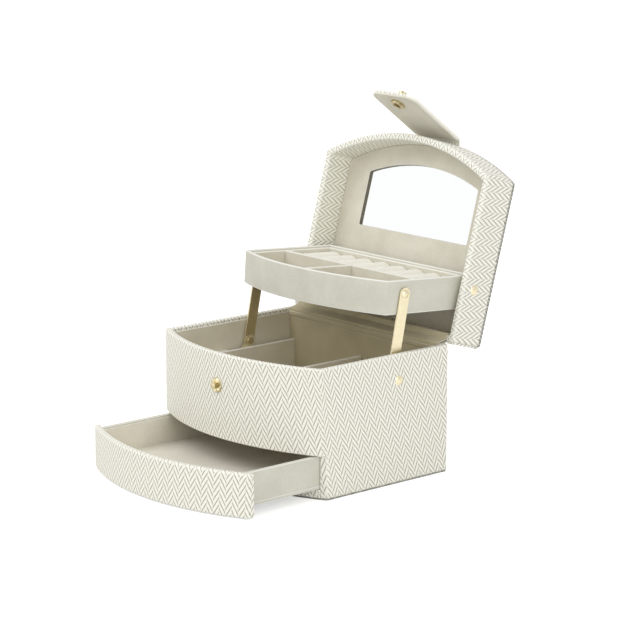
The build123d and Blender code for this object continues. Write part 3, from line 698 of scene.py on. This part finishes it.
ROLL_COUNT = 8
ROLL_GAP = 0.275
ROLL_LIFT = 0.2
ROLL_END_GAP = 0.3
ROLL_HEIGHT = 17.5
ROLL_CROWN = 8.0
ROLL_END_ROUND = 3.0
ROLL_END_PINCH = 0.4
ROLL_LUMP = 0.25
LUMPS_PER_MM = 0.12
FRONT_SECTION = 34.0
DIVIDER = 3.0
ROLL_STATIONS = 28
ROLL_AROUND = 24
ROLL_PITCH = 2 * (TRAY_X - TRAY_WALL) / ROLL_COUNT
ROLL_WIDTH = ROLL_PITCH - ROLL_GAP
ROLL_BASE = TRAY_FLOOR_TOP + ROLL_LIFT
ROLL_SIDE_TOP = ROLL_BASE + ROLL_HEIGHT - ROLL_CROWN
ROLL_FRONT_Y = TRAY_CORNER_Y + FRONT_SECTION + DIVIDER + ROLL_END_GAP
ROLL_BACK_Y = TRAY_REAR_Y - TRAY_WALL - ROLL_END_GAP
ROLL_LENGTH = ROLL_BACK_Y - ROLL_FRONT_Y

roll_cloth, surface = finish(
    "roll_cloth", {"Roughness": 1.0, "Specular IOR Level": 0.15, "Sheen Weight": 0.4}
)
plush = surface.grain(size=0.7 * MM, detail=4.0)
feed(roll_cloth, {
    "Base Color": plush.mix(colour(227, 224, 211), colour(247, 245, 236)),
    "Normal": plush.bump(height=0.3 * MM, strength=0.4),
})


def roll_shape(middle_x):
    """A roll with a round top and soft ends, a little lumpy."""
    shape = bmesh.new()
    rings = []
    for station in range(ROLL_STATIONS + 1):
        share = (1 - math.cos(math.pi * station / ROLL_STATIONS)) / 2
        into_end = max(ROLL_END_ROUND - min(share, 1 - share) * ROLL_LENGTH, 0)
        draw_in = ROLL_END_ROUND - math.sqrt(ROLL_END_ROUND**2 - into_end**2)
        half_width = ROLL_WIDTH / 2 - ROLL_END_PINCH * draw_in
        y = ROLL_FRONT_Y + share * ROLL_LENGTH
        ring = [shape.verts.new((middle_x + half_width, y, ROLL_BASE))]
        for step in range(ROLL_AROUND + 1):
            angle = math.pi * step / ROLL_AROUND
            x = middle_x + half_width * math.cos(angle)
            z = ROLL_SIDE_TOP + (ROLL_CROWN - draw_in) * math.sin(angle)
            lump = ROLL_LUMP * noise.noise(Vector((x, y, z)) * LUMPS_PER_MM)
            ring.append(shape.verts.new((x, y, z + lump * math.sin(angle))))
        ring.append(shape.verts.new((middle_x - half_width, y, ROLL_BASE)))
        rings.append(ring)
    for front, back in zip(rings, rings[1:]):
        for i in range(len(front)):
            j = (i + 1) % len(front)
            shape.faces.new((front[i], front[j], back[j], back[i]))
    shape.faces.new(rings[0])
    shape.faces.new(rings[-1])
    bmesh.ops.recalc_face_normals(shape, faces=shape.faces)
    return shape


for number in range(1, ROLL_COUNT + 1):
    middle_x = ROLL_PITCH * (number - (ROLL_COUNT + 1) / 2)
    roll = fit(f"ring_roll_{number}_plush", roll_shape(middle_x), roll_cloth, "tray",
               [f"ring_roll_{number}"], lifted)

# Lid shell
# Four walls of board and a top board, wrapped in the same leatherette, which turns in round the
# rim. A thin seam is left under the top's cover, with a dark board behind it as painted shade in the
# seam. A second cloth is glued over the back, and brass rivets in the side walls carry the tray.

LID_HEIGHT = 28.0
LID_GAP = 0.1
LID_COVER_PROUD = 0.35
LID_TOP_COVER = 1.9
LID_SEAM = 0.15
LID_EDGE = 0.4
LID_RIM_ROUND = 1.6
LID_RIM_ZONE = 1.0
SEAM_OUTER_INSET = 0.8
SEAM_INNER_INSET = 3.0
SEAM_BELOW = 1.5
SEAM_ABOVE = 0.5
SEAM_EDGE = 0.1
BACK_COVER = 1.2
BACK_COVER_SUNK = 0.3
BACK_COVER_SIDE_MARGIN = 0.6
BACK_COVER_LOW_MARGIN = 1.1
BACK_COVER_TOP_MARGIN = 0.7
BACK_COVER_EDGE = 0.3
LID_TOP = RIM + LID_HEIGHT
LID_RIM = RIM + LID_GAP
COVER_TOP = LID_TOP + LID_COVER_PROUD
SEAM_Z = COVER_TOP - LID_TOP_COVER

lid_inner = squared(case_outer, INNER_X, BOW_RADIUS - WALL, INNER_REAR_Y)
lid_shape = walls(case_outer, lid_inner, [LID_RIM, SEAM_Z - LID_SEAM])
round_edges(lid_shape, LID_EDGE, above=RIM + LID_RIM_ZONE)
round_edges(lid_shape, LID_RIM_ROUND)
wrap(lid_shape, fold=LID_RIM, side_lean=FRONT_LEAN)
lid_nodes = ["lid_front_wall", "left_lid_wall", "right_lid_wall", "lid_back_wall"]
fit("lid_walls", lid_shape, leatherette, "lid", lid_nodes, opened)
lid_top_shape = plate(case_outer, SEAM_Z, COVER_TOP, LID_EDGE)
wrap(lid_top_shape, flat_top=True)
fit("lid_top_wrapped", lid_top_shape, leatherette, "lid", ["lid_top_board"], opened)


def lid_outline(inset):
    """Outline of the lid at a distance inside its outer face."""
    return bowed_outline(HALF_WIDTH - inset, BOW_RADIUS - inset, REAR_Y - inset, CORNER_ROUND)


# A dark band inside the seam: painted shade.
seam_painted_shade = suede("seam_painted_shade", dark=colour(128, 122, 104), light=colour(160, 153, 134))
seam_shape = walls(
    lid_outline(SEAM_OUTER_INSET),
    lid_outline(SEAM_INNER_INSET),
    [SEAM_Z - SEAM_BELOW, SEAM_Z + SEAM_ABOVE],
    SEAM_EDGE,
)
fit("lid_seam_board", seam_shape, seam_painted_shade, "lid", [], opened)


def slab(low, high, edge):
    """A flat piece between two corners, with rounded edges."""
    shape = bmesh.new()
    bmesh.ops.create_cube(shape, size=1.0)
    span = Vector(high) - Vector(low)
    middle = (Vector(high) + Vector(low)) / 2
    shape.transform(Matrix.Translation(middle) @ Matrix.Diagonal((*span, 1)))
    round_edges(shape, edge)
    return shape


back_cover_x = HALF_WIDTH - BACK_COVER_SIDE_MARGIN
back_cover_shape = slab(
    (-back_cover_x, REAR_Y - BACK_COVER_SUNK, RIM + BACK_COVER_LOW_MARGIN),
    (back_cover_x, REAR_Y + BACK_COVER, LID_TOP - BACK_COVER_TOP_MARGIN),
    BACK_COVER_EDGE,
)
wrap(back_cover_shape)
fit("lid_back_cover", back_cover_shape, leatherette, "lid", [], opened)
dress(pale_brass, "lid_rivets")

# Lid panel and mirror
# A board covered in suedette fills the lid behind its walls. A glass mirror lies behind its
# arched window, whose cut edge is coloured dark as painted shade in the depth of the board.

LID_TOP_THICKNESS = 4.0
PANEL_THICKNESS = 2.0
PANEL_EDGE = 0.2
WINDOW_WIDTH = 114.0
WINDOW_FRONT_MARGIN = 20.0
WINDOW_FROM_BACK = 69.0
WINDOW_CORNER = 1.0
WINDOW_SIDE_Y = -20.0
WINDOW_EDGE_SUNK = 0.1
WINDOW_EDGE_PROUD = 0.15
WINDOW_EDGE_BELOW_FACE = 0.4
WINDOW_EDGE_OFF_MIRROR = 0.05
WINDOW_EDGE_ROUND = 0.05
MIRROR_FACE = LID_TOP - LID_TOP_THICKNESS
PANEL_FACE = MIRROR_FACE - PANEL_THICKNESS

cover("lid_panel", PANEL_EDGE, warm_suede, "lid")


def window_outline(inset):
    """Outline of the panel's window at a distance inside its edge."""
    return bowed_outline(
        WINDOW_WIDTH / 2 - inset,
        BOW_RADIUS - WINDOW_FRONT_MARGIN - inset,
        REAR_Y - WINDOW_FROM_BACK - inset,
        WINDOW_CORNER,
        WINDOW_SIDE_Y,
    )


# The window's cut edge is coloured dark: painted shade.
window_edge_painted_shade = suede("window_edge_painted_shade", dark=colour(88, 84, 70), light=colour(116, 111, 95))
window_shape = walls(
    window_outline(-WINDOW_EDGE_SUNK),
    window_outline(WINDOW_EDGE_PROUD),
    [PANEL_FACE + WINDOW_EDGE_BELOW_FACE, MIRROR_FACE - WINDOW_EDGE_OFF_MIRROR],
    WINDOW_EDGE_ROUND,
)
fit("window_edge", window_shape, window_edge_painted_shade, "lid", [], opened)

mirror_glass, surface = finish("mirror_glass", {"Metallic": 1.0, "Base Color": colour(253, 254, 254)})
haze = surface.grain(size=10 * MM)
feed(mirror_glass, {"Roughness": 0.01 + 0.02 * haze})
dress(mirror_glass, "mirror")

# Cloth hinge
# A strip of leatherette outside and a strip of suedette inside, both glued to case and lid and
# bent between the two rims. A folded hem of the same suedette runs along the case's back lining.

HINGE_STRIP_EDGE = 0.2
HINGE_LINING_EDGE = 0.15
HEM_SIDE_MARGIN = 1.2
HEM_AHEAD_OF_WALL = 2.1
HEM_THICKNESS = 1.2
HEM_BELOW_RIM = 1.5
HEM_HEIGHT = 2.8
HEM_EDGE = 0.5


strip_shape = softened("hinge_strip", HINGE_STRIP_EDGE)
layer = strip_shape.loops.layers.uv.new("wrap")
for face in strip_shape.faces:
    for loop in face.loops:
        loop[layer].uv = (loop.vert.co.x, loop.vert.co.y + loop.vert.co.z)
strip = fit("hinge_strip_glued", strip_shape, leatherette, None, ["hinge_strip"])
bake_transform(strip)
# The hinge lining is in the darker copy of the case lining's suedette: painted shade.
hinge_lining = fit("hinge_lining_glued", softened("hinge_lining", HINGE_LINING_EDGE), case_lining_painted_shade, None,
                   ["hinge_lining"])
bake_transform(hinge_lining)
hem_x = INNER_X - HEM_SIDE_MARGIN
hem_front_y = INNER_REAR_Y - HEM_AHEAD_OF_WALL
hem_top = RIM - HEM_BELOW_RIM
hem_shape = slab(
    (-hem_x, hem_front_y, hem_top - HEM_HEIGHT), (hem_x, hem_front_y + HEM_THICKNESS, hem_top), HEM_EDGE
)
# The hem is in the darker copy of the case lining's suedette: painted shade.
fit("hinge_hem", hem_shape, case_lining_painted_shade, "case", [])

# Strap
# A tab of leatherette lined with suedette, glued to the lid's top behind its front edge and bent
# forward over it, with a brass snap socket inside and its cap outside. The lining's end is
# carried round the inside of the bend.

STRAP_WIDTH = 44.0
STRAP_COVER = 1.8
STRAP_EDGE = 0.35
STRAP_LINING_EDGE = 0.25
STRAP_ROOT_GAP = 0.4
STRAP_ROOT_BEHIND_FRONT = 2.0
STRAP_LEDGE = 2.5
STRAP_HANGS_OUT = math.radians(20.6)
FACES_SIDE = 0.3
BEND_RADIUS = 4.0
BEND_LINING = 0.5
BEND_LINING_GAP = 0.05
BEND_LINING_SIDE_MARGIN = 0.3
BEND_LINING_FROM = math.radians(115)
BEND_LINING_TO = math.radians(185)
BEND_LINING_EDGE = 0.15
BEND_STEPS = 12
STRAP_ROOT_YZ = (FRONT_Y + STRAP_ROOT_BEHIND_FRONT, LID_TOP + STRAP_ROOT_GAP + STRAP_COVER / 2)
BEND_Y = BEND_RADIUS * math.sin(STRAP_HANGS_OUT) - STRAP_LEDGE * math.cos(STRAP_HANGS_OUT)
BEND_Z = -BEND_RADIUS * math.cos(STRAP_HANGS_OUT) - STRAP_LEDGE * math.sin(STRAP_HANGS_OUT)
hung = opened @ moved((0, 0), STRAP_ROOT_YZ, -STRAP_HANGS_OUT)


def up_strap(y, z):
    """How far up the strap's cover a point lies, measured over its bend."""
    if z < BEND_Z:
        return z
    return BEND_Z + BEND_RADIUS * math.atan2(z - BEND_Z, BEND_Y - y)


stroke_middle = (ZIGZAG_WIDTH / 2, ZIGZAG_PITCH / 2 - ZIGZAG_SLOPE * ZIGZAG_WIDTH / 2)
strap_shape = softened("strap_cover", STRAP_EDGE, hung)
layer = strap_shape.loops.layers.uv.new("wrap")
for face in strap_shape.faces:
    is_edge = abs(face.normal.x) > FACES_SIDE
    for loop in face.loops:
        x, y, z = loop.vert.co
        loop[layer].uv = stroke_middle if is_edge else (x, up_strap(y, z))
strap = fit("strap_cover_sewn", strap_shape, leatherette, None, ["strap_cover"], hung)


def bend_lining_shape():
    """The lining's end inside the bend: a plate of its side view, turned to run across the strap."""
    outside = BEND_RADIUS - STRAP_COVER / 2 - BEND_LINING_GAP
    half_width = STRAP_WIDTH / 2 - BEND_LINING_SIDE_MARGIN
    span = BEND_LINING_TO - BEND_LINING_FROM
    turns = [BEND_LINING_FROM + span * step / BEND_STEPS for step in range(BEND_STEPS + 1)]
    arcs = [(outside, turn) for turn in turns]
    arcs += [(outside - BEND_LINING, turn) for turn in reversed(turns)]
    side_view = [
        (BEND_Y + radius * math.cos(turn), BEND_Z + radius * math.sin(turn)) for radius, turn in arcs
    ]
    shape = plate(side_view, -half_width, half_width, BEND_LINING_EDGE)
    side_view_to_box = Matrix(((0, 0, 1), (1, 0, 0), (0, 1, 0))).to_4x4()
    shape.transform(side_view_to_box)
    return shape


bend_lining = fit("strap_bend_lining", bend_lining_shape(), warm_suede, None, [], hung)
for piece in (strap, bend_lining):
    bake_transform(piece)
fit("strap_lining_sewn", softened("strap_lining", STRAP_LINING_EDGE), warm_suede, "strap",
    ["strap_lining"])
dress(deep_brass, "snap_socket", "snap_cap")

# Floor and light
# A plain white sheet that runs to the horizon, lit so that it shows white. A soft lamp stands high
# at the left front and a weaker one low at the right, in an even pale surround.

FLOOR_REACH = 4.0
FLOOR_Z = -0.0002
AMBIENT = 0.82
LAMPS_AIM = Vector((0, 0, 0.1))

floor_corners = [(-1, -1), (1, -1), (1, 1), (-1, 1)]
floor_mesh = bpy.data.meshes.new("floor")
floor_mesh.from_pydata(
    [(x * FLOOR_REACH, y * FLOOR_REACH, FLOOR_Z) for x, y in floor_corners], [], [(0, 1, 2, 3)]
)
floor = bpy.data.objects.new("floor", floor_mesh)
bpy.context.scene.collection.objects.link(floor)
paper, surface = finish(
    "paper", {"Roughness": 0.9, "Specular IOR Level": 0.0, "Emission Strength": 0.52}
)
seen = surface.node("ShaderNodeLightPath", out="Is Camera Ray")
mirrored = surface.node("ShaderNodeLightPath", out="Is Glossy Ray")
shown = seen.math("MAXIMUM", mirrored)
paper_tone = surface.grain(size=0.5)
feed(paper, {
    "Base Color": paper_tone.mix(colour(228, 228, 226), colour(233, 233, 231)),
    "Emission Color": shown.mix((0, 0, 0, 1), (1, 1, 1, 1)),
})
floor_mesh.materials.append(paper)

world = bpy.data.worlds.new("surround")
world.use_nodes = True
bpy.context.scene.world = world
tree = world.node_tree
seen = Wire(tree, tree.nodes.new("ShaderNodeLightPath").outputs["Is Camera Ray"])
mirrored = seen.node("ShaderNodeLightPath", out="Is Glossy Ray")
through = seen.node("ShaderNodeLightPath", out="Is Transmission Ray")
shown = seen.math("MAXIMUM", mirrored).math("MAXIMUM", through)
strength = AMBIENT + (1 - AMBIENT) * shown
background = tree.nodes["Background"]
background.inputs["Color"].default_value = (1, 1, 1, 1)
tree.links.new(strength.socket, background.inputs["Strength"])


def lamp(name, place, size, power):
    """A square soft lamp at a place, aimed at the box."""
    light = bpy.data.lights.new(name, "AREA")
    light.size = size
    light.energy = power
    added = bpy.data.objects.new(name, light)
    added.location = place
    added.rotation_euler = (LAMPS_AIM - Vector(place)).to_track_quat("-Z", "Y").to_euler()
    bpy.context.scene.collection.objects.link(added)


lamp("key", place=(-0.6, -0.95, 1.4), size=1.0, power=7.5)
lamp("fill", place=(1.3, -0.5, 0.6), size=0.8, power=4.0)

# Camera
# A long lens, low at the right front of the box, as in the photograph. It is aimed behind the
# box's middle and to its left, where the picture has its centre.

CAMERA_AZIMUTH = math.radians(48.84)
CAMERA_ELEVATION = math.radians(12.17)
CAMERA_ROLL = math.radians(0.10)
CAMERA_DISTANCE = 1.80875
CAMERA_TARGET = Vector((-0.04242, 0.05217, 0.09768))
CAMERA_LENS = 143.70
CAMERA_SENSOR = 36.0

away = Vector((
    math.sin(CAMERA_AZIMUTH) * math.cos(CAMERA_ELEVATION),
    -math.cos(CAMERA_AZIMUTH) * math.cos(CAMERA_ELEVATION),
    math.sin(CAMERA_ELEVATION),
))
camera_data = bpy.data.cameras.new("camera")
camera_data.lens = CAMERA_LENS
camera_data.sensor_width = CAMERA_SENSOR
camera = bpy.data.objects.new("camera", camera_data)
camera.location = CAMERA_TARGET + CAMERA_DISTANCE * away
aim = (-away).to_track_quat("-Z", "Y").to_matrix().to_4x4() @ Matrix.Rotation(CAMERA_ROLL, 4, "Z")
camera.rotation_euler = aim.to_euler()
bpy.context.scene.collection.objects.link(camera)
bpy.context.scene.camera = camera
bpy.context.scene.view_settings.view_transform = "Standard"
